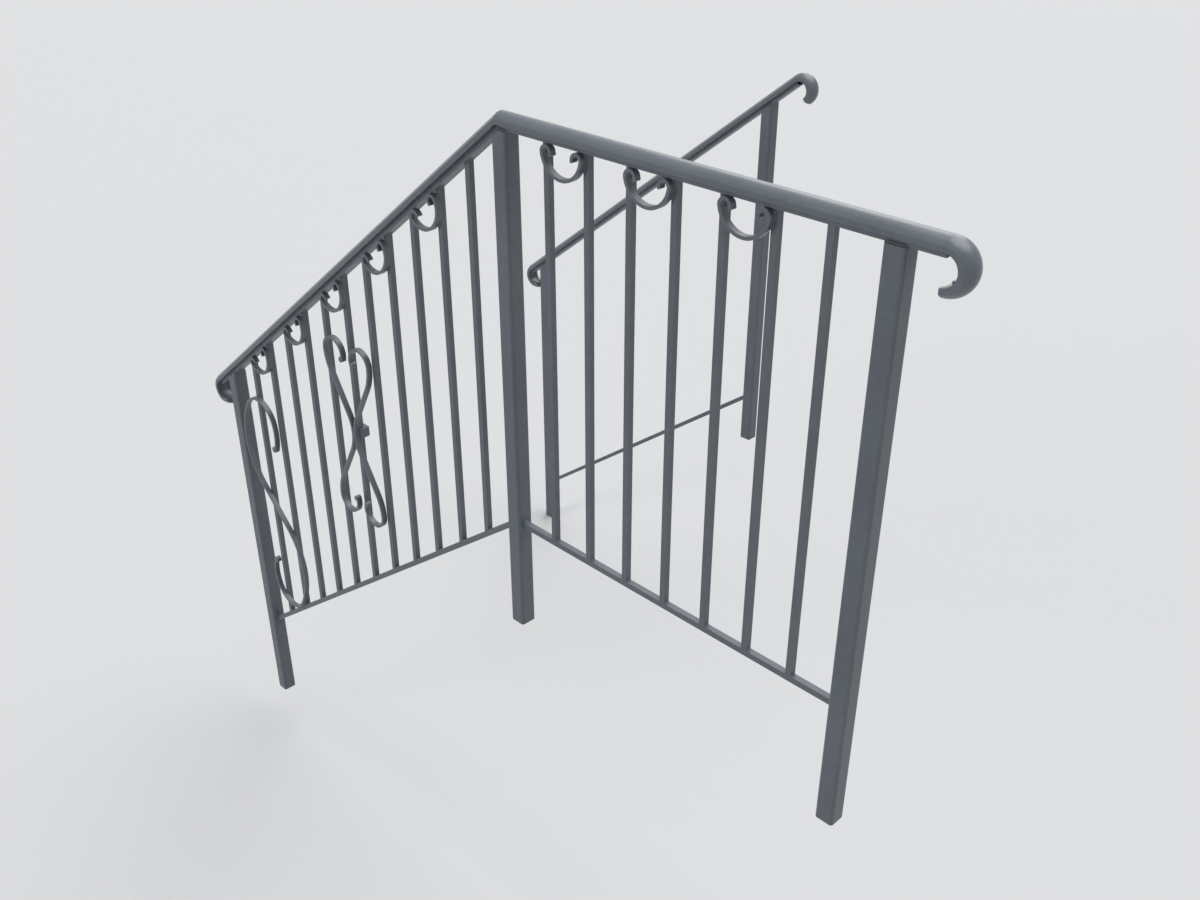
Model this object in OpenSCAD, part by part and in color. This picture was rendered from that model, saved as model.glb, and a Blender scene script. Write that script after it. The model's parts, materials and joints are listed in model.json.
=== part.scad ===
// Wrought iron stair handrail: a baluster rail with scrolls that follows a stair flight down
// from a level landing, and the plain matching rail on the far side of the flight.
// Millimetres, +Z up. X runs up the flight, Y runs across it towards the far rail.
// The origin is the centre of the newel post's foot.

/* [Layout] */
// Newel post to landing post, centre to centre, measured level
stair_run = 1168.4; // [900:10:1500]
// Landing post to end post, centre to centre
level_run = 836.6; // [600:10:1200]
// Slope of the stair part
stair_angle = 37.5; // [30:0.5:42]
// Front rail to rear rail, centre to centre
flight_width = 1422.4; // [900:10:1800]

/* [Posts] */
// Side of the square post
post_size = 38.1; // [32:1:60]
// Outside corner radius of the post
post_corner = 6.35; // [3:0.5:9]
// Wall of the post tube
post_wall = 3.2; // [2:0.2:5]
// Plates that close the post's foot and top
post_plate = 5; // [3:0.5:8]
// Vent hole in the top plate, under the channel
vent_hole = 8; // [4:1:16]
// Post foot to the underside of the channel, at the post's centre
post_height = 1105; // [900:10:1300]

/* [Rails] */
// Width of the channel under the cap
channel_width = 25.4; // [20:0.5:30]
// Depth of the channel
channel_depth = 12.7; // [11.5:0.5:16]
// Thickness of the channel's web and flanges
channel_wall = 3.2; // [2:0.2:4]
// Width of the cap rail
cap_width = 44.4; // [38:1:60]
// Height of the cap's flat side
cap_side = 9.2; // [6:0.2:14]
// How far the channel shows below the cap
channel_reveal = 10.3; // [8:0.1:11]
// Rise of the crowned top above the flat side
crown_rise = 11; // [5:0.5:14]
// Side of the square bottom rail
bottom_bar = 12.7; // [10:0.5:20]
// Underside of the bottom rail above the foot, at a post's centre
bottom_height = 254; // [100:5:400]
// Level cap past the end post's centre
level_overhang = 78; // [50:2:160]
// Stair cap past the newel's centre, along the slope
stair_overhang = 89; // [60:2:160]

/* [Balusters] */
// Side of the square baluster
baluster_size = 12.7; // [10:0.5:16]
// Balusters in the stair part
stair_balusters = 11; // [7:2:15]
// Balusters in the level part
level_balusters = 7; // [5:2:11]

/* [Curled ends] */
// Centre of the curl below the channel's underside
curl_drop = 14.7; // [12:0.5:22]
// Turn of the curl
curl_turn = 180; // [150:5:200]

/* [Scrolls] */
// Width of the flat bar, across the rail
strap_width = 12.7; // [8:0.5:16]
// Thickness of the flat bar
strap_thick = 6.35; // [4:0.25:8]
// Middle radius of the C scroll's big arc
c_radius = 49.4; // [40:0.5:52]
// Middle radius of the C scroll's curled ends
c_curl = 10.8; // [9:0.2:14]
// Centre of the C scroll below the channel
c_drop = 8; // [2:0.2:9]
// Clear height between bottom rail and channel for which the sizes below are given; they grow with it
scroll_clear = 835; // [750:5:950]
// Clear gap between the S scroll and the newel post
s_gap = 7.3; // [3:0.5:30]
// Straight half of the S scroll's middle
s_straight = 70; // [50:5:90]
// Lean of that straight away from upright
s_lean = 45; // [42:1:48]
// Radius of the S scroll where it leaves the straight
s_bend = 191.5; // [170:5:210]
// Radius of the S scroll's long side
s_side = 210; // [180:5:230]
// Turn of the long side
s_side_angle = 35; // [30:1:40]
// Radius of the S scroll's tops
s_curl = 67; // [58:1:72]
// Turn of the tops
s_curl_angle = 130; // [120:1:135]
// Radius of the S scroll's ends
s_end = 135; // [110:5:160]
// Turn of the ends
s_end_angle = 33; // [25:1:38]
// Centre of the middle scrolls above mid-height
middle_lift = 12.8; // [-20:1:30]
// Radius of the middle scrolls at the collar
middle_bend = 100; // [80:5:120]
// Radius of the middle scrolls at the shoulder
middle_shoulder = 120; // [90:5:140]
// Angle of the middle scrolls' straight part from upright
middle_angle = 30; // [24:0.5:36]
// Length of that straight part
middle_straight = 109; // [80:5:130]
// Radius of the middle scrolls' curled ends
middle_curl = 35.5; // [31:0.5:40]
// Turn of the curled ends
middle_curl_angle = 188; // [170:1:205]
// Square collar on the middle baluster
collar_size = 25.4; // [22:0.5:32]
// Height of the collar
collar_height = 25; // [15:1:40]
// How far the collar stands out in front of the baluster
collar_front = 1.4; // [0.8:0.1:6]

/* [Rear rail] */
// Lower to upper post, measured level
rear_run = 970; // [700:10:1400]
// Lower rear post from the newel, measured level
rear_start = -287; // [-500:10:300]
// Foot of the lower rear post above the newel's foot
rear_lift = -128; // [-300:10:300]
// Rear post foot to the underside of the channel
rear_height = 1086; // [900:10:1300]
// Underside of the rear bottom rail above the foot
rear_bottom = 149; // [100:5:400]
// Rear cap past the upper post's centre, along the slope
rear_upper_overhang = 130; // [80:5:200]
// Rear cap past the lower post's centre, along the slope
rear_lower_overhang = 75; // [60:5:200]

/* [Hidden] */
$fn = 96;
// Gap left for the weld between pieces
seat = 0.3;
// Step of the points along a scroll's arcs, in degrees
arc_step = 4;
// Knobs at the tips of the C scrolls, the S scroll and the middle scrolls
c_knob = strap_thick * 0.6;
s_knob = strap_thick * 1.35;
middle_knob = strap_thick * 1.1;
slope = tan(stair_angle);
// Top of the stair's bottom rail above the line of the post feet, and the clear height up to the channel
bar_top = bottom_height + bottom_bar / cos(stair_angle);
clear = post_height - bar_top;
grow = clear / scroll_clear;
rise = stair_run * slope;
landing_x = stair_run;
end_x = stair_run + level_run;
stair_gap = (stair_run - post_size - stair_balusters * baluster_size) / (stair_balusters + 1);
level_gap = (level_run - post_size - level_balusters * baluster_size) / (level_balusters + 1);
iron = [0.36, 0.39, 0.42];
iron_light = [0.44, 0.47, 0.50];
big = 4000;

function pad(i) = i < 10 ? str("0", i) : str(i);
STAIR_BALUSTERS = [for (i = [1:stair_balusters]) str("stair_baluster_", pad(i))];
LEVEL_BALUSTERS = [for (i = [1:level_balusters]) str("level_baluster_", pad(i))];
stair_scrolls = floor(stair_balusters / 2);
level_scrolls = floor(level_balusters / 2);
STAIR_SCROLLS = [for (i = [1:stair_scrolls]) str("stair_c_scroll_", i)];
LEVEL_SCROLLS = [for (i = [1:level_scrolls]) str("level_c_scroll_", i)];

// Centre of a baluster, counted from the lower or landing post
function stair_x(i) = post_size / 2 + i * stair_gap + (i - 0.5) * baluster_size;
function level_x(i) = landing_x + post_size / 2 + i * level_gap + (i - 0.5) * baluster_size;

// Draws a shape given in the X, Z plane as a plate across Y, from y0 to y0 + depth
module across(y0, depth) translate([0, y0 + depth, 0]) rotate([90, 0, 0]) linear_extrude(depth) children();

// Square tube with rounded corners, closed at both ends; its top is cut by the children
module post(height) {
    tall = height + post_size;
    color(iron) difference() {
        intersection() {
            rounded_bar(post_size, post_corner, tall);
            across(-post_size, 2 * post_size) children();
        }
        intersection() {
            translate([0, 0, post_plate]) rounded_bar(post_size - 2 * post_wall, post_corner - post_wall / 2, tall);
            across(-post_size, 2 * post_size) translate([0, -post_plate]) children();
        }
        translate([0, 0, height / 2]) cylinder(d = vent_hole, h = tall);
    }
}

module rounded_bar(size, corner, height) {
    c = size / 2 - corner;
    translate([-size / 2, -c, 0]) cube([size, 2 * c, height]);
    translate([-c, -size / 2, 0]) cube([2 * c, size, height]);
    for (x = [-c, c], y = [-c, c]) translate([x, y, 0]) cylinder(r = corner, h = height);
}

// Side view of what lies under a slope that passes over the post's centre at the given height
module under_slope(height, left, right) {
    polygon([[-post_size, -1], [post_size, -1], [post_size, height + post_size * right],
             [0, height], [-post_size, height - post_size * left]]);
}

// Section of the cap rail: x across the rail, y up from the channel's underside
module cap_section() {
    low = channel_reveal;
    high = channel_reveal + cap_side;
    crown = (pow(cap_width / 2, 2) + pow(crown_rise, 2)) / (2 * crown_rise);
    difference() {
        union() {
            translate([-cap_width / 2, low]) square([cap_width, cap_side]);
            intersection() {
                translate([0, high + crown_rise - crown]) circle(r = crown);
                translate([-cap_width / 2, high - 0.5]) square([cap_width, crown_rise + 1]);
            }
        }
        translate([-channel_width / 2 - seat, 0]) square([channel_width + 2 * seat, channel_depth + seat]);
    }
}

// Section of the channel, web down
module channel_section() {
    difference() {
        translate([-channel_width / 2, 0]) square([channel_width, channel_depth]);
        translate([-channel_width / 2 + channel_wall, channel_wall]) square([channel_width - 2 * channel_wall, channel_depth]);
    }
}

// Runs a section along +X from x0 for the given length
module run(x0, length) translate([x0, 0, 0]) rotate([90, 0, 90]) linear_extrude(length) children();

// Half space that trims a level run at the bend, leaning back by half the slope
module bend_cut() rotate([0, -stair_angle / 2, 0]) translate([-big, -big / 2, -big / 2]) cube([big - seat / 2, big, big]);

module level_part() translate([landing_x, 0, rise + post_height]) difference() {
    children();
    bend_cut();
}

// The stair runs point down the flight from the bend: built level towards +X, then mirrored
module stair_part() translate([landing_x, 0, rise + post_height]) mirror([1, 0, 0]) rotate([0, stair_angle, 0]) difference() {
    children();
    bend_cut();
}

stair_cap_length = stair_run / cos(stair_angle) + stair_overhang;
level_cap_length = level_run + level_overhang;

module level_channel() color(iron) level_part() run(-channel_depth, level_cap_length + channel_depth) channel_section();
module stair_channel() color(iron) stair_part() run(-channel_depth, stair_cap_length + channel_depth) channel_section();
module level_cap() color(iron_light) level_part() run(-cap_width, level_cap_length + cap_width) cap_section();
module stair_cap() color(iron_light) stair_part() run(-cap_width, stair_cap_length + cap_width) cap_section();

// The cap's section turned under itself, from the seam towards +X and down
module curl() {
    color(iron_light)
    translate([seat, 0, -curl_drop]) rotate([90, 0, 0]) rotate([0, 0, 90 - curl_turn])
    rotate_extrude(angle = curl_turn) rotate([0, 0, -90]) translate([0, curl_drop]) cap_section();
}

module level_curl() translate([landing_x + level_cap_length, 0, rise + post_height]) curl();
module stair_curl() translate([landing_x, 0, rise + post_height]) mirror([1, 0, 0]) rotate([0, stair_angle, 0])
    translate([stair_cap_length, 0, 0]) curl();

// Square bar between two posts; both ends are cut plumb
module bottom_bar_between(x0, z0, length, rise_per_mm) {
    tall = bottom_bar * sqrt(1 + rise_per_mm * rise_per_mm);
    half = post_size / 2 + seat;
    color(iron) translate([x0, 0, z0]) across(-bottom_bar / 2, bottom_bar)
    polygon([[half, half * rise_per_mm], [length - half, (length - half) * rise_per_mm],
             [length - half, (length - half) * rise_per_mm + tall], [half, half * rise_per_mm + tall]]);
}

module stair_bottom_rail() bottom_bar_between(0, bottom_height, stair_run, slope);
module level_bottom_rail() bottom_bar_between(landing_x, rise + bottom_height, level_run, 0);

// A baluster with both ends cut to the slope
module baluster(x, z_low, z_high, rise_per_mm) {
    h = baluster_size / 2;
    color(iron) translate([x, 0, 0]) across(-h, baluster_size)
    polygon([[-h, z_low - h * rise_per_mm], [h, z_low + h * rise_per_mm],
             [h, z_high + h * rise_per_mm], [-h, z_high - h * rise_per_mm]]);
}

module stair_baluster(i) {
    x = stair_x(i);
    baluster(x, x * slope + bar_top + seat, x * slope + post_height - seat, slope);
}

module level_baluster(i) baluster(level_x(i), rise + bottom_height + bottom_bar + seat, rise + post_height - seat, 0);

// A path is a list of [radius or length, turn]: a turn of 0 is straight, + turns left.
// walk() follows it from x, y with heading a, and gives [x, y, heading] every few degrees.
function walk(path, x, y, a, i = 0) = i == len(path) ? [] :
    let(size = path[i][0], turn = path[i][1], side = sign(turn), steps = max(1, ceil(abs(turn) / arc_step)),
        cx = x - side * size * sin(a), cy = y + side * size * cos(a),
        poses = turn == 0 ? [[x + size * cos(a), y + size * sin(a), a]] :
            [for (k = [1:steps]) let(b = a + turn * k / steps) [cx + side * size * sin(b), cy - side * size * cos(b), b]],
        last = poses[len(poses) - 1])
    concat(poses, walk(path, last[0], last[1], last[2], i + 1));
function backwards(list) = [for (k = [len(list) - 1:-1:0]) list[k]];
function beside(p, d) = [p[0] - d * sin(p[2]), p[1] + d * cos(p[2])];
// Points round the knob that ends a scroll at pose p, clockwise; ahead is 0 at the path's end and 180 at its start.
// Seen on the way out, the knob bulges to the left for a side of 1, to the right for -1 and evenly for 0.
function knob(p, ahead, r, side) =
    let(half = strap_thick / 2, aside = side * (r - half), b = p[2] + ahead,
        left = 180 - asin(min(1, (half - aside) / r)), right = 180 - asin(min(1, (half + aside) / r)),
        out = r * max(cos(180 - left), cos(180 - right)),
        cx = p[0] + out * cos(b) - aside * sin(b), cy = p[1] + out * sin(b) + aside * cos(b))
    [for (k = [1:17]) let(c = b + left - (left + right) * k / 18) [cx + r * cos(c), cy + r * sin(c)]];

// Flat bar along the poses, with a knob at each end
module ribbon(poses, r, start_side, end_side) linear_extrude(strap_width) polygon(concat(
    [for (p = poses) beside(p, strap_thick / 2)], knob(poses[len(poses) - 1], 0, r, end_side),
    [for (p = backwards(poses)) beside(p, -strap_thick / 2)], knob(poses[0], 180, r, start_side)));

// Stands a flat scroll up in the X, Z plane with its back at y_back
module stand(y_back) translate([0, y_back, 0]) rotate([90, 0, 0]) children();

c_lean = asin((c_curl + strap_thick / 2 + 2 * seat - c_drop) / (c_radius - c_curl));
c_half = walk([[c_radius, 90 - c_lean], [c_curl, 180 + c_lean]], 0, 0, 0);
c_path = concat([for (p = backwards(c_half)) [-p[0], p[1], -p[2]]], c_half);
module c_scroll() color(iron_light) stand(-baluster_size / 2 - seat) translate([0, -c_drop - c_radius, 0]) ribbon(c_path, c_knob, 0, 0);

module stair_c_scroll(i) {
    x = (stair_x(2 * i - 1) + stair_x(2 * i)) / 2;
    translate([x, 0, x * slope + post_height]) rotate([0, -stair_angle, 0]) c_scroll();
}

module level_c_scroll(i) translate([(level_x(2 * i - 1) + level_x(2 * i)) / 2, 0, rise + post_height]) c_scroll();

s_half = walk([[s_straight * grow, 0], [s_bend * grow, -s_lean], [s_side * grow, -s_side_angle],
    [s_curl * grow, -s_curl_angle], [s_end * grow, -s_end_angle]], 0, 0, 90 + s_lean);
s_path = concat([for (p = backwards(s_half)) [-p[0], -p[1], p[2]]], s_half);
s_x = post_size / 2 + s_gap + strap_thick / 2 - min([for (p = s_half) p[0]]);
// How far the scroll reaches from its centre, square to the slope: it stands on the bottom rail
s_reach = max([for (p = s_half) p[1] * cos(stair_angle) - p[0] * sin(stair_angle)]) + strap_thick / 2;
module s_scroll() color(iron_light) translate([s_x, 0, s_x * slope + bar_top + (s_reach + seat) / cos(stair_angle)])
    stand(-baluster_size / 2 - seat) ribbon(s_path, s_knob, -1, -1);

middle = (stair_balusters + 1) / 2;
middle_z = stair_x(middle) * slope + bar_top + clear / 2 + middle_lift * grow;
wing_half = walk([[middle_bend * grow, middle_angle], [middle_straight * grow, 0], [middle_shoulder * grow, -middle_angle],
    [middle_curl * grow, -middle_curl_angle]], -strap_thick / 2 - seat / 2, 0, 90);
wing_path = concat([for (p = backwards(wing_half)) [p[0], -p[1], 180 - p[2]]], wing_half);
collar_y = -baluster_size / 2 - collar_front;
module wing() color(iron_light) translate([stair_x(middle), 0, middle_z])
    stand(collar_y - seat) ribbon(wing_path, middle_knob, 1, -1);
module middle_scroll_left() wing();
module middle_scroll_right() translate([2 * stair_x(middle), 0, 0]) mirror([1, 0, 0]) wing();

module collar() color(iron) translate([stair_x(middle), 0, middle_z - collar_height / 2]) difference() {
    translate([-collar_size / 2, collar_y, 0]) cube([collar_size, collar_size, collar_height]);
    translate([-baluster_size / 2 - seat, -baluster_size / 2 - seat, -1])
        cube([baluster_size + 2 * seat, baluster_size + 2 * seat, collar_height + 2]);
}

module newel_post() post(post_height) under_slope(post_height - seat, slope, slope);
module landing_post() translate([landing_x, 0, rise]) post(post_height) under_slope(post_height - seat, slope, 0);
module end_post() translate([end_x, 0, rise]) post(post_height) under_slope(post_height - seat, 0, 0);

// The rear rail, drawn from the lower post's foot
module rear() translate([rear_start, flight_width, rear_lift]) children();
module rear_post(x) rear() translate([x, 0, x * slope]) post(rear_height) under_slope(rear_height - seat, slope, slope);
module rear_along() rear() translate([0, 0, rear_height]) rotate([0, -stair_angle, 0]) children();
rear_length = rear_run / cos(stair_angle);
module rear_channel() color(iron) rear_along()
    run(-rear_lower_overhang, rear_length + rear_lower_overhang + rear_upper_overhang) channel_section();
module rear_cap() color(iron_light) rear_along()
    run(-rear_lower_overhang, rear_length + rear_lower_overhang + rear_upper_overhang) cap_section();
module rear_upper_curl() rear_along() translate([rear_length + rear_upper_overhang, 0, 0]) curl();
module rear_lower_curl() rear_along() translate([-rear_lower_overhang, 0, 0]) mirror([1, 0, 0]) curl();
module rear_bottom_rail() rear() bottom_bar_between(0, rear_bottom, rear_run, slope);

newel_post();
landing_post();
end_post();
stair_channel();
level_channel();
stair_cap();
level_cap();
stair_curl();
level_curl();
stair_bottom_rail();
level_bottom_rail();
s_scroll();
middle_scroll_left();
middle_scroll_right();
collar();
rear_post(0);  // rear_lower_post
rear_post(rear_run);  // rear_upper_post
rear_channel();
rear_cap();
rear_lower_curl();
rear_upper_curl();
rear_bottom_rail();
for (i = [1:stair_balusters]) stair_baluster(i);
for (i = [1:level_balusters]) level_baluster(i);
for (i = [1:stair_scrolls]) stair_c_scroll(i);
for (i = [1:level_scrolls]) level_c_scroll(i);
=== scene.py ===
import bpy
import bmesh
import json
import math
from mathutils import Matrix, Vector


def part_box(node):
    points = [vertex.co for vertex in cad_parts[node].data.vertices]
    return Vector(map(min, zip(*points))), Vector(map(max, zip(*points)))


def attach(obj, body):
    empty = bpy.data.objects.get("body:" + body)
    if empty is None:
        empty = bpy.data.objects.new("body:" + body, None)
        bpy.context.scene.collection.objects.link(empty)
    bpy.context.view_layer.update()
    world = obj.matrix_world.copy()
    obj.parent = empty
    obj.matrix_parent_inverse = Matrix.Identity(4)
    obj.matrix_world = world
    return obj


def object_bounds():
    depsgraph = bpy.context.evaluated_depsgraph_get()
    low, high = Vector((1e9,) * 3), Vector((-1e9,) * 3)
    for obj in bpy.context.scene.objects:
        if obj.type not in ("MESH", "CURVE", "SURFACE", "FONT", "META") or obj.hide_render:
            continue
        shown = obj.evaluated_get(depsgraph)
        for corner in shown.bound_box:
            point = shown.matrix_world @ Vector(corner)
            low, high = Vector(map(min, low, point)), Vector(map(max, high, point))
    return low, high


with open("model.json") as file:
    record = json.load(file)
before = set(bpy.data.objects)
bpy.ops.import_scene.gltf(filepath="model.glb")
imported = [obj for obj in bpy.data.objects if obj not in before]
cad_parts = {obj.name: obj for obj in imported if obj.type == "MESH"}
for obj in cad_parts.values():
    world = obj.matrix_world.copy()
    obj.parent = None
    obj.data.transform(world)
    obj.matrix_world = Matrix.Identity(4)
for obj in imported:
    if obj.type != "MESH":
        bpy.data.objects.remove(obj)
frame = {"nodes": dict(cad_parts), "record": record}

cad_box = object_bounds()

# The rails' own sizes, in metres, as the CAD model has them.
STAIR_ANGLE = math.radians(37.5)
SLOPE = math.tan(STAIR_ANGLE)
STAIR_RUN = 1.1684
LEVEL_RUN = 0.8366
RISE = STAIR_RUN * SLOPE
POST = 0.0381
POST_HEIGHT = 1.105
BAR = 0.0127
CHANNEL = 0.0254
BOTTOM_HEIGHT = 0.254
REAR_FOOT = (-0.287, 1.4224, -0.128)
REAR_RUN = 0.970
REAR_HEIGHT = 1.086
REAR_BOTTOM = 0.149
UP_SLOPE = Vector((math.cos(STAIR_ANGLE), 0.0, math.sin(STAIR_ANGLE)))
LEVEL = Vector((1.0, 0.0, 0.0))
ACROSS = Vector((0.0, 1.0, 0.0))
UP = Vector((0.0, 0.0, 1.0))
BOTH_SIDES = (-1.0, 1.0)


class Value:
    """A shader value that adds its own Math nodes, so that a mix of masks is written as plain sums."""

    def __init__(self, paint, socket):
        self.paint = paint
        self.socket = socket

    def _maths(self, operation, first, second):
        return self.paint.node("ShaderNodeMath", {"operation": operation}, {0: first, 1: second})

    def __add__(self, other):
        return self._maths("ADD", self, other)

    def __radd__(self, other):
        return self._maths("ADD", other, self)

    def __sub__(self, other):
        return self._maths("SUBTRACT", self, other)

    def __rsub__(self, other):
        return self._maths("SUBTRACT", other, self)

    def __mul__(self, other):
        return self._maths("MULTIPLY", self, other)

    def __rmul__(self, other):
        return self._maths("MULTIPLY", other, self)

    def or_else(self, other):
        """The larger of the two: of two masks, 1 where either is 1."""
        return self._maths("MAXIMUM", self, other)

    def between(self, low, high):
        """0 below low, 1 above high, and smooth in between."""
        settings = {"interpolation_type": "SMOOTHSTEP"}
        return self.paint.node("ShaderNodeMapRange", settings, {0: self, 1: low, 2: high, 3: 0.0, 4: 1.0})


class Paint:
    """The node tree of one finish, or of the sky, and the few kinds of node that the finishes share."""

    def __init__(self, owner):
        owner.use_nodes = True
        self.tree = owner.node_tree
        self.tree.nodes.clear()

    def node(self, kind, settings, inputs, output=0):
        """Adds a node, with its settings and then its sockets' values or links. Gives one of its outputs."""
        new = self.tree.nodes.new(kind)
        for key, setting in settings.items():
            setattr(new, key, setting)
        for key, given in inputs.items():
            if isinstance(given, Value):
                self.tree.links.new(given.socket, new.inputs[key])
            else:
                new.inputs[key].default_value = given
        return Value(self, new.outputs[output]) if len(new.outputs) else None

    def place(self):
        return self.node("ShaderNodeTexCoord", {}, {}, "Object")

    def noise(self, place, per_metre, detail=3.0, rough=0.55):
        inputs = {"Vector": place, "Scale": per_metre, "Detail": detail, "Roughness": rough}
        return self.node("ShaderNodeTexNoise", {"noise_dimensions": "3D"}, inputs, "Fac")

    def stretched(self, place, factors):
        return self.node("ShaderNodeVectorMath", {"operation": "MULTIPLY"}, {0: place, 1: factors})

    def blend(self, mask, first, second):
        """The first colour where the mask is 0, the second where it is 1. 6, 7 and 2 are colour sockets."""
        settings = {"data_type": "RGBA", "clamp_factor": True}
        return self.node("ShaderNodeMix", settings, {0: mask, 6: first, 7: second}, 2)

    def rounded(self, radius):
        return self.node("ShaderNodeBevel", {"samples": 6}, {"Radius": radius})

    def edges(self, radius):
        """1 on the last of a face before its edge, where a rounded normal leans away from the flat one."""
        flat = self.node("ShaderNodeNewGeometry", {}, {}, "Normal")
        inputs = {0: flat, 1: self.rounded(radius)}
        same = self.node("ShaderNodeVectorMath", {"operation": "DOT_PRODUCT"}, inputs, "Value")
        return (1.0 - same).between(0.02, 0.16)

    def painted_corner_shade(self, reach):
        """1 deep in the corners where two bars meet, where shade is painted into the colour."""
        open_air = self.node("ShaderNodeAmbientOcclusion", {"samples": 8}, {"Distance": reach}, "AO")
        return (1.0 - open_air).between(0.35, 0.9)


# Steel-grey enamel, and what it is mixed with where it is thin and carries a painted highlight on the edges,
# where it is thick, and where shade is painted in a corner. All linear colours.
ENAMEL = (0.117, 0.136, 0.157, 1.0)
ENAMEL_THIN_AND_HIGHLIGHT = (0.178, 0.198, 0.222, 1.0)
ENAMEL_DEEP = (0.094, 0.110, 0.129, 1.0)
ENAMEL_SHADED = (0.038, 0.044, 0.052, 1.0)

# How closely the marks lie, for each metre. The strokes are long and thin, so theirs has three numbers.
CLOUDS_PER_METRE = 5.0
MOTTLE_PER_METRE = 70.0
WEAR_PER_METRE = 130.0
PEEL_PER_METRE = 520.0
STROKES_PER_METRE = (420.0, 420.0, 18.0)

# How deep the finest marks are and how far the shade painted in a corner reaches, in metres.
PEEL_DEPTH = 0.00006
STROKE_DEPTH = 0.00004
NOOK_REACH = 0.012

# Thin paint and the painted highlight along an edge reach this many times the radius of the edge.
WEAR_AND_HIGHLIGHT_REACH = 2.4

# How strongly each mask colours the enamel.
CLOUDS_COLOUR = 0.65
MOTTLE_COLOUR = 0.35
WEAR_AND_HIGHLIGHT_COLOUR = 0.85
NOOK_SHADE_COLOUR = 0.5

# How much rougher each mark makes the enamel, and how much smoother wear makes it.
CLOUDS_ROUGHER = 0.05
MOTTLE_ROUGHER = 0.04
STROKES_ROUGHER = 0.03
WEAR_SMOOTHER = 0.08


def satin_enamel(name, dents_per_metre, dent_depth, roughness, edge_radius, gloss):
    """Brushed satin enamel on iron: clouded colour, orange peel, hammer marks, thin paint with a painted
    highlight on the edges, and painted shade in the corners.
    """
    material = bpy.data.materials.new(name)
    paint = Paint(material)
    place = paint.place()
    clouds = paint.noise(place, CLOUDS_PER_METRE, detail=4.0).between(0.35, 0.68)
    mottle = paint.noise(place, MOTTLE_PER_METRE).between(0.35, 0.70)
    peel = paint.noise(place, PEEL_PER_METRE, detail=2.0)
    strokes = paint.noise(paint.stretched(place, STROKES_PER_METRE), 1.0, detail=2.0)
    dents = paint.noise(place, dents_per_metre, detail=2.0)
    worn_and_lit_edge = paint.edges(edge_radius * WEAR_AND_HIGHLIGHT_REACH) * paint.noise(place, WEAR_PER_METRE).between(0.30, 0.60)
    colour = paint.blend(clouds * CLOUDS_COLOUR + mottle * MOTTLE_COLOUR, ENAMEL_DEEP, ENAMEL)
    # Lighter enamel on the edges: partly thin, worn paint and partly a painted highlight along each edge.
    colour = paint.blend(worn_and_lit_edge * WEAR_AND_HIGHLIGHT_COLOUR, colour, ENAMEL_THIN_AND_HIGHLIGHT)
    # Painted shade: the enamel darkens deep in the corners where bars meet.
    colour = paint.blend(paint.painted_corner_shade(NOOK_REACH) * NOOK_SHADE_COLOUR, colour, ENAMEL_SHADED)
    rough = roughness + clouds * CLOUDS_ROUGHER + mottle * MOTTLE_ROUGHER + strokes * STROKES_ROUGHER
    rough = rough - worn_and_lit_edge * WEAR_SMOOTHER
    height = peel * PEEL_DEPTH + strokes * STROKE_DEPTH + dents * dent_depth
    bump = paint.node("ShaderNodeBump", {}, {
        "Strength": 1.0, "Distance": 1.0, "Height": height, "Normal": paint.rounded(edge_radius)})
    shader = paint.node("ShaderNodeBsdfPrincipled", {}, {
        "Base Color": colour, "Roughness": rough, "Normal": bump,
        "Metallic": 0.0, "Specular IOR Level": gloss})
    paint.node("ShaderNodeOutputMaterial", {}, {"Surface": shader})
    return material


FINISHES = {
    "bars": satin_enamel(
        "enamel_on_bars", dents_per_metre=45.0, dent_depth=0.00018,
        roughness=0.36, edge_radius=0.0006, gloss=0.35),
    "cap_rail": satin_enamel(
        "enamel_on_cap_rail", dents_per_metre=25.0, dent_depth=0.00010,
        roughness=0.26, edge_radius=0.0006, gloss=0.5),
    "scrollwork": satin_enamel(
        "enamel_on_scrollwork", dents_per_metre=95.0, dent_depth=0.00026,
        roughness=0.34, edge_radius=0.0006, gloss=0.45),
}
WELD_PAINT = satin_enamel(
    "enamel_on_welds", dents_per_metre=160.0, dent_depth=0.00012,
    roughness=0.40, edge_radius=0.0005, gloss=0.4)

slots = {row["node"]: row["material_slot"] for row in frame["record"]["subparts"]}
for name, node in frame["nodes"].items():
    node.data.materials.clear()
    node.data.materials.append(FINISHES[slots[name]])

# Weld beads: the fillet that a stick weld leaves in the corner between two bars, with the ripples of its run.
# These are their sizes, in metres along each of the two bars.
BALUSTER_BEAD = 0.0026
POST_TOP_BEAD = 0.0034
BOTTOM_RAIL_BEAD = 0.0028
SCROLL_BEAD = 0.0022

# A bead stops a little short of the corners. These are the shares of half a baluster's side and of half a
# post's top that it covers, and of the channel's and the bottom rail's width that it covers on each side of
# the middle. The last is the share of the bottom rail's height that it leaves bare at each end.
BALUSTER_COVER = 0.92
POST_TOP_COVER = 0.97
CHANNEL_COVER = 0.46
RAIL_COVER = 0.45
RAIL_BARE = 0.05

# The ripples: their length in metres, the steps of mesh in each, how proud they stand as a share of the bead,
# and how far the middle of each lags behind its ends, as a share of its length.
RIPPLE = 0.0017
STEPS_A_RIPPLE = 5
RIPPLE_HEIGHT = 0.07
RIPPLE_LAG = 0.30

# The bead's own form: how deep it is sunk in both bars, in metres, how hollow its face is and how small its
# ends are, as shares of its size, how suddenly it narrows to them, its fewest steps and its face's points.
SUNK = 0.00035
HOLLOW = 0.15
END_SIZE = 0.25
END_POWER = 5
FEWEST_STEPS = 8
BEAD_POINTS = 7

# The unevenness of a hand's pace, slow and quick: how much of the size, radians a metre, and radians a run.
SLOW_PACE = (0.09, 620.0, 2.3)
QUICK_PACE = (0.05, 1430.0, 1.0)

# A ring this near a corner of its run, in metres, counts as past it.
ROUNDING = 1e-9


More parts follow.
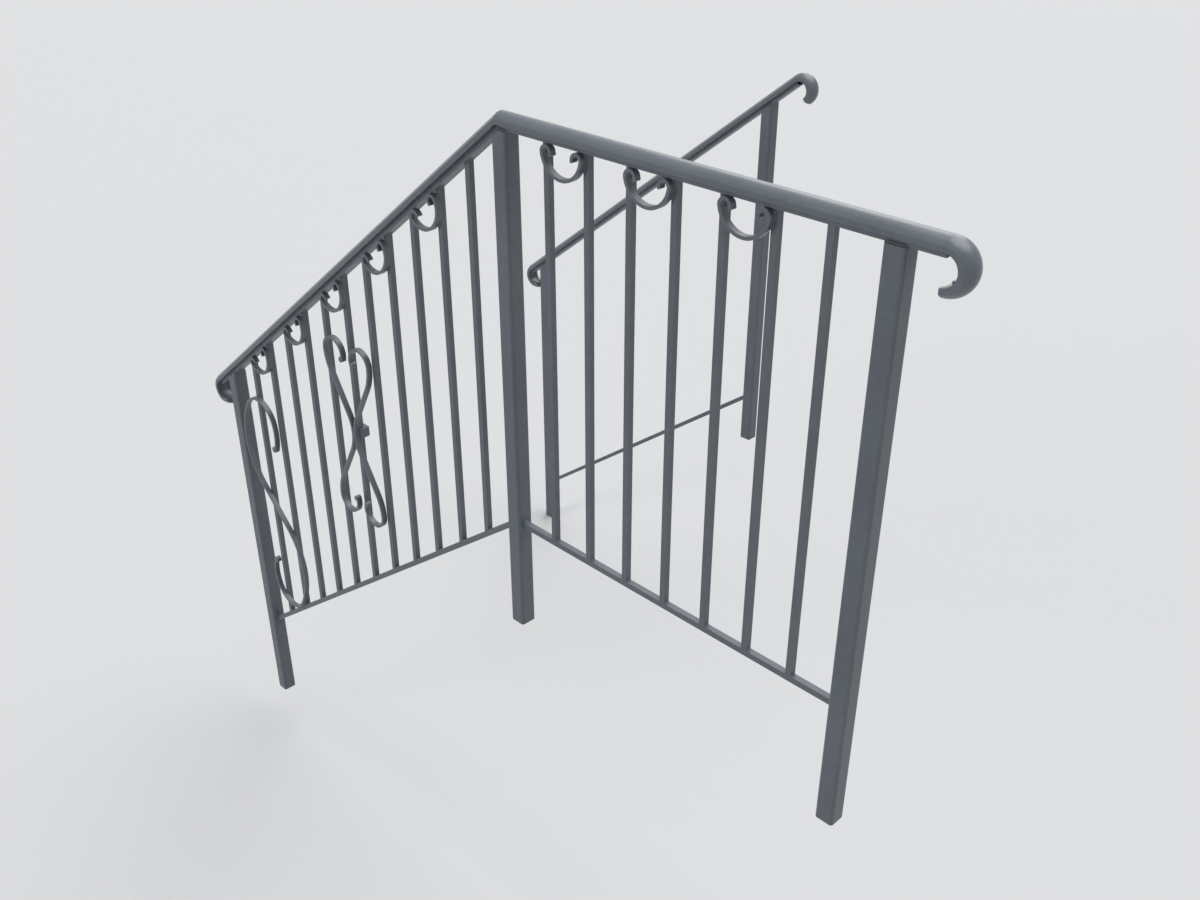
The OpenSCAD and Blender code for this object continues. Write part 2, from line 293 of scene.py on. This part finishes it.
class Welds:
    """All the beads of one group of joints, in one mesh."""

    def __init__(self, name, slot):
        self.name = name
        self.slot = slot
        self.mesh = bmesh.new()
        self.runs = 0

    def run(self, corners, size):
        """One bead. A corner is a point of the joint's line and the ways along its two bars, away from it."""
        self.runs += 1
        lengths = [0.0]
        for before, after in zip(corners, corners[1:]):
            lengths.append(lengths[-1] + (after[0] - before[0]).length)
        total = lengths[-1]
        count = max(FEWEST_STEPS, round(total / RIPPLE * STEPS_A_RIPPLE))
        rings = []
        for step in range(count + 1):
            along = total * step / count
            place = max(k for k in range(len(lengths) - 1) if lengths[k] <= along + ROUNDING)
            share = (along - lengths[place]) / (lengths[place + 1] - lengths[place])
            near, far = corners[place], corners[place + 1]
            point = near[0].lerp(far[0], share)
            first = near[1].lerp(far[1], share).normalized()
            second = near[2].lerp(far[2], share).normalized()
            full = size * self.taper(step / count) * self.wander(along)
            rings.append(self.ring(point, first, second, full, along))
        for before, after in zip(rings, rings[1:]):
            for k in range(len(before)):
                following = (k + 1) % len(before)
                self.mesh.faces.new((before[k], before[following], after[following], after[k]))
        self.mesh.faces.new(rings[0][::-1])
        self.mesh.faces.new(rings[-1])

    def taper(self, share):
        """The bead's size at a share of its length: small at both ends, and full over most of it."""
        return END_SIZE + (1.0 - END_SIZE) * math.sqrt(max(0.0, 1.0 - abs(2.0 * share - 1.0) ** END_POWER))

    def wander(self, along):
        """How much fuller or thinner than its size the bead is at a place, different in each run."""
        slow, quick = (much * math.sin(along * turn + self.runs * change)
                       for much, turn, change in (SLOW_PACE, QUICK_PACE))
        return 1.0 + slow + quick

    def ring(self, point, first, second, full, along):
        """One ring of the bead: its root, sunk in the corner, and the points of its face from bar to bar."""
        root = point - (first + second) * SUNK
        ring = [self.mesh.verts.new(root)]
        for k in range(BEAD_POINTS):
            turn = math.pi / 2.0 * k / (BEAD_POINTS - 1)
            middle = math.sin(2.0 * turn)
            lag = RIPPLE_LAG * RIPPLE * middle
            ripple = 1.0 + RIPPLE_HEIGHT * math.cos(2.0 * math.pi * (along + lag) / RIPPLE) * middle
            reach = full * ripple * (1.0 - HOLLOW * middle)
            face = root + first * (reach * math.cos(turn) + SUNK) + second * (reach * math.sin(turn) + SUNK)
            # The face's two ends are sunk in the bars as well, so that no gap shows beside the bead.
            if k == 0:
                face -= second * SUNK
            elif k == BEAD_POINTS - 1:
                face -= first * SUNK
            ring.append(self.mesh.verts.new(face))
        return ring

    def straight(self, start, end, first, second, size):
        self.run([(start, first, second), (end, first, second)], size)

    def finish(self):
        bmesh.ops.recalc_face_normals(self.mesh, faces=self.mesh.faces[:])
        data = bpy.data.meshes.new(self.name)
        self.mesh.to_mesh(data)
        self.mesh.free()
        for face in data.polygons:
            face.use_smooth = True
        data.materials.append(WELD_PAINT)
        piece = bpy.data.objects.new(self.name, data)
        bpy.context.scene.collection.objects.link(piece)
        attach(piece, "root")


def square_to(line, way):
    """The part of a way that is square to the joint's line."""
    return (way - line * way.dot(line)).normalized()


def weld_baluster_end(welds, centre, slope, facing, rail_width):
    """Beads round a baluster's end: centre is on the rail's face, and facing points at the baluster.
    Only a rail that is wider than the baluster has room for the two beads along its slope."""
    half = BAR / 2.0
    for side in BOTH_SIDES:
        foot = centre + slope * (side * half / slope.x)
        cover = ACROSS * half * BALUSTER_COVER
        welds.straight(foot - cover, foot + cover, slope * side, facing, BALUSTER_BEAD)
        if rail_width > BAR:
            edge = centre + ACROSS * (side * half)
            cover = slope * (half / slope.x * BALUSTER_COVER)
            welds.straight(edge - cover, edge + cover, ACROSS * side, square_to(slope, facing), BALUSTER_BEAD)


baluster_welds = Welds("baluster_welds", "bars")
for name in frame["nodes"]:
    if "_baluster_" not in name:
        continue
    low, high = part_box(name)
    middle_x = (low.x + high.x) / 2.0
    on_stair = name.startswith("stair")
    slope = UP_SLOPE if on_stair else LEVEL
    foot_line = middle_x * SLOPE if on_stair else RISE
    rail_top = BOTTOM_HEIGHT + (BAR / math.cos(STAIR_ANGLE) if on_stair else BAR)
    under_channel = Vector((middle_x, 0.0, foot_line + POST_HEIGHT))
    on_bottom_rail = Vector((middle_x, 0.0, foot_line + rail_top))
    weld_baluster_end(baluster_welds, under_channel, slope, -UP, CHANNEL)
    weld_baluster_end(baluster_welds, on_bottom_rail, slope, UP, BAR)
baluster_welds.finish()


def weld_post_top(welds, foot, height, slopes):
    """Beads between a post's top and its channel; slopes are the channel's ways before and after the post."""
    top = Vector(foot) + UP * height
    ends = [top + slope * (side * POST / 2.0 / slope.x) for side, slope in zip(BOTH_SIDES, slopes)]
    for side in BOTH_SIDES:
        edge = ACROSS * (side * CHANNEL / 2.0)
        away = ACROSS * side
        line = [(top.lerp(end, POST_TOP_COVER) + edge, away, square_to(slope, UP))
                for end, slope in zip(ends, slopes)]
        if slopes[0] != slopes[1]:
            line.insert(1, (top + edge, away, UP))
        welds.run(line, POST_TOP_BEAD)
    cover = ACROSS * CHANNEL * CHANNEL_COVER
    for side, slope, end in zip(BOTH_SIDES, slopes, ends):
        welds.straight(end - cover, end + cover, slope * side, -UP, POST_TOP_BEAD)


def weld_bottom_rail(welds, foot, height, slope, side):
    """Beads round the bottom rail's end on a post; side says on which side of the post the rail is."""
    tall = BAR / slope.x
    low = Vector(foot) + UP * height + slope * (side * POST / 2.0 / slope.x)
    high = low + UP * tall
    bare = UP * tall * RAIL_BARE
    for across in BOTH_SIDES:
        edge = ACROSS * (across * BAR / 2.0)
        welds.straight(low + edge + bare, high + edge - bare, ACROSS * across, LEVEL * side, BOTTOM_RAIL_BEAD)
    cover = ACROSS * BAR * RAIL_COVER
    for corner, way in ((low, -UP), (high, UP)):
        welds.straight(corner - cover, corner + cover, way, slope * side, BOTTOM_RAIL_BEAD)


newel_foot = (0.0, 0.0, 0.0)
landing_post_foot = (STAIR_RUN, 0.0, RISE)
end_post_foot = (STAIR_RUN + LEVEL_RUN, 0.0, RISE)
front_welds = Welds("front_post_welds", "bars")
weld_post_top(front_welds, newel_foot, POST_HEIGHT, (UP_SLOPE, UP_SLOPE))
weld_post_top(front_welds, landing_post_foot, POST_HEIGHT, (UP_SLOPE, LEVEL))
weld_post_top(front_welds, end_post_foot, POST_HEIGHT, (LEVEL, LEVEL))
weld_bottom_rail(front_welds, newel_foot, BOTTOM_HEIGHT, UP_SLOPE, 1)
weld_bottom_rail(front_welds, landing_post_foot, BOTTOM_HEIGHT, UP_SLOPE, -1)
weld_bottom_rail(front_welds, landing_post_foot, BOTTOM_HEIGHT, LEVEL, 1)
weld_bottom_rail(front_welds, end_post_foot, BOTTOM_HEIGHT, LEVEL, -1)
front_welds.finish()

rear_upper_foot = (REAR_FOOT[0] + REAR_RUN, REAR_FOOT[1], REAR_FOOT[2] + REAR_RUN * SLOPE)
rear_welds = Welds("rear_post_welds", "bars")
for foot, side in ((REAR_FOOT, 1), (rear_upper_foot, -1)):
    weld_post_top(rear_welds, foot, REAR_HEIGHT, (UP_SLOPE, UP_SLOPE))
    weld_bottom_rail(rear_welds, foot, REAR_BOTTOM, UP_SLOPE, side)
rear_welds.finish()

# Two corners of a scroll's mesh that are nearer than this, in metres, are one place.
SAME_PLACE = 1e-5
# A face whose normal leans less than this towards the back is one of the flat bar's narrow sides.
NARROW_SIDE = 0.1


def back_outline(node):
    """A flat-bar scroll's back edge, from its narrow sides: steps of start, end and way out of the bar."""
    mesh = node.data
    back = max(vertex.co.y for vertex in mesh.vertices)
    steps = []
    for face in mesh.polygons:
        corners = [mesh.vertices[k].co.copy() for k in face.vertices]
        on_back = [corner for corner in corners if corner.y > back - SAME_PLACE]
        if abs(face.normal.y) < NARROW_SIDE and len(on_back) == 2:
            out = Vector((face.normal.x, 0.0, face.normal.z)).normalized()
            steps.append((on_back[0], on_back[1], out))
    return steps


def crossings(steps, low, high):
    """The stretches of a back edge over the face from low to high, each as a list of steps in a row."""
    kept = []
    for start, end, out in steps:
        middle = (start + end) / 2.0
        if low.x < middle.x < high.x and low.z < middle.z < high.z:
            kept.append((start, end, out))
    rows = []
    while kept:
        row = [kept.pop()]
        grown = True
        while grown:
            grown = False
            for step in kept:
                joins = [(step[0] - row[-1][1]).length, (step[1] - row[-1][1]).length,
                         (step[1] - row[0][0]).length, (step[0] - row[0][0]).length]
                if min(joins) > SAME_PLACE:
                    continue
                which = joins.index(min(joins))
                turned = step if which in (0, 2) else (step[1], step[0], step[2])
                row = row + [turned] if which in (0, 1) else [turned] + row
                kept.remove(step)
                grown = True
                break
        rows.append(row)
    return rows


def weld_scroll(welds, node, faces):
    """Beads along a scroll's back edge wherever it lies on one of the faces."""
    steps = back_outline(node)
    for low, high in faces:
        for row in crossings(steps, low, high):
            corners = [(row[0][0], row[0][2], -ACROSS)]
            corners += [(end, out, -ACROSS) for start, end, out in row]
            if (corners[-1][0] - corners[0][0]).length > SCROLL_BEAD:
                welds.run(corners, SCROLL_BEAD)


scroll_welds = Welds("scroll_welds", "scrollwork")
baluster_boxes = [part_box(name) for name in frame["nodes"] if "_baluster_" in name]
for name, node in frame["nodes"].items():
    if name.startswith("middle_scroll"):
        weld_scroll(scroll_welds, node, [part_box("collar")])
    elif slots[name] == "scrollwork":
        weld_scroll(scroll_welds, node, baluster_boxes)
scroll_welds.finish()

# The studio: a pale floor, a sky of the colour that the lit floor shows, and the photograph's viewpoint.
FLOOR_REACH = 60.0
FLOOR_COLOUR = (0.54, 0.545, 0.555, 1.0)
SKY_COLOUR = (0.755, 0.765, 0.775, 1.0)
SKY_LIGHT = 0.24
WHITE = (1.0, 1.0, 1.0, 1.0)
CAMERA_PLACE = (2.86181, -1.45101, 2.59705)
CAMERA_TILT = math.radians(60.3555)
CAMERA_TURN = math.radians(44.987)
LENS = 36.941
SENSOR = 36.0
FARTHEST_SEEN = 200.0


def set_light(name, comes_from, strength, width):
    """A far, wide softbox, to light the whole floor evenly; width is the angle that it fills in the sky."""
    lamp = bpy.data.lights.new(name, "SUN")
    lamp.energy = strength
    lamp.angle = math.radians(width)
    holder = bpy.data.objects.new(name, lamp)
    bpy.context.scene.collection.objects.link(holder)
    holder.rotation_euler = Vector(comes_from).to_track_quat("Z", "Y").to_euler()


def lay_floor(height):
    """A plain pale floor, far wider than the camera sees, level with the lowest foot."""
    mesh = bpy.data.meshes.new("studio_floor")
    corners = [(x * FLOOR_REACH, y * FLOOR_REACH, height) for x, y in ((-1, -1), (1, -1), (1, 1), (-1, 1))]
    mesh.from_pydata(corners, [], [(0, 1, 2, 3)])
    floor = bpy.data.objects.new("studio_floor", mesh)
    bpy.context.scene.collection.objects.link(floor)
    paper = bpy.data.materials.new("studio_floor_paper")
    paint = Paint(paper)
    shader = paint.node("ShaderNodeBsdfPrincipled", {}, {
        "Base Color": FLOOR_COLOUR, "Roughness": 0.9, "Specular IOR Level": 0.1})
    paint.node("ShaderNodeOutputMaterial", {}, {"Surface": shader})
    mesh.materials.append(paper)


def light_sky():
    """Even soft light from all round, while the camera and the glints see the sky's own colour."""
    world = bpy.data.worlds.new("studio_sky")
    bpy.context.scene.world = world
    paint = Paint(world)
    camera, glossy, through = (paint.node("ShaderNodeLightPath", {}, {}, kind)
                               for kind in ("Is Camera Ray", "Is Glossy Ray", "Is Transmission Ray"))
    light = paint.node("ShaderNodeBackground", {}, {"Color": WHITE, "Strength": SKY_LIGHT})
    backdrop = paint.node("ShaderNodeBackground", {}, {"Color": SKY_COLOUR, "Strength": 1.0})
    seen = camera.or_else(glossy).or_else(through)
    mixed = paint.node("ShaderNodeMixShader", {}, {0: seen, 1: light, 2: backdrop})
    paint.node("ShaderNodeOutputWorld", {}, {"Surface": mixed})


def set_camera():
    """The photograph's own viewpoint, from above and beyond the end post."""
    view = bpy.data.cameras.new("photograph_view")
    view.sensor_width = SENSOR
    view.lens = LENS
    view.clip_end = FARTHEST_SEEN
    camera = bpy.data.objects.new("photograph_view", view)
    bpy.context.scene.collection.objects.link(camera)
    camera.location = CAMERA_PLACE
    camera.rotation_euler = (CAMERA_TILT, 0.0, CAMERA_TURN)
    bpy.context.scene.camera = camera


lay_floor(cad_box[0][2])
light_sky()
set_light("front_softbox", comes_from=(-0.25, -1.0, 0.48), strength=0.90, width=25.0)
set_light("back_softbox", comes_from=(-0.50, 1.0, 0.60), strength=0.65, width=35.0)
set_light("top_softbox", comes_from=(0.10, 0.30, 0.90), strength=3.00, width=60.0)
set_camera()
bpy.context.scene.view_settings.view_transform = "Standard"
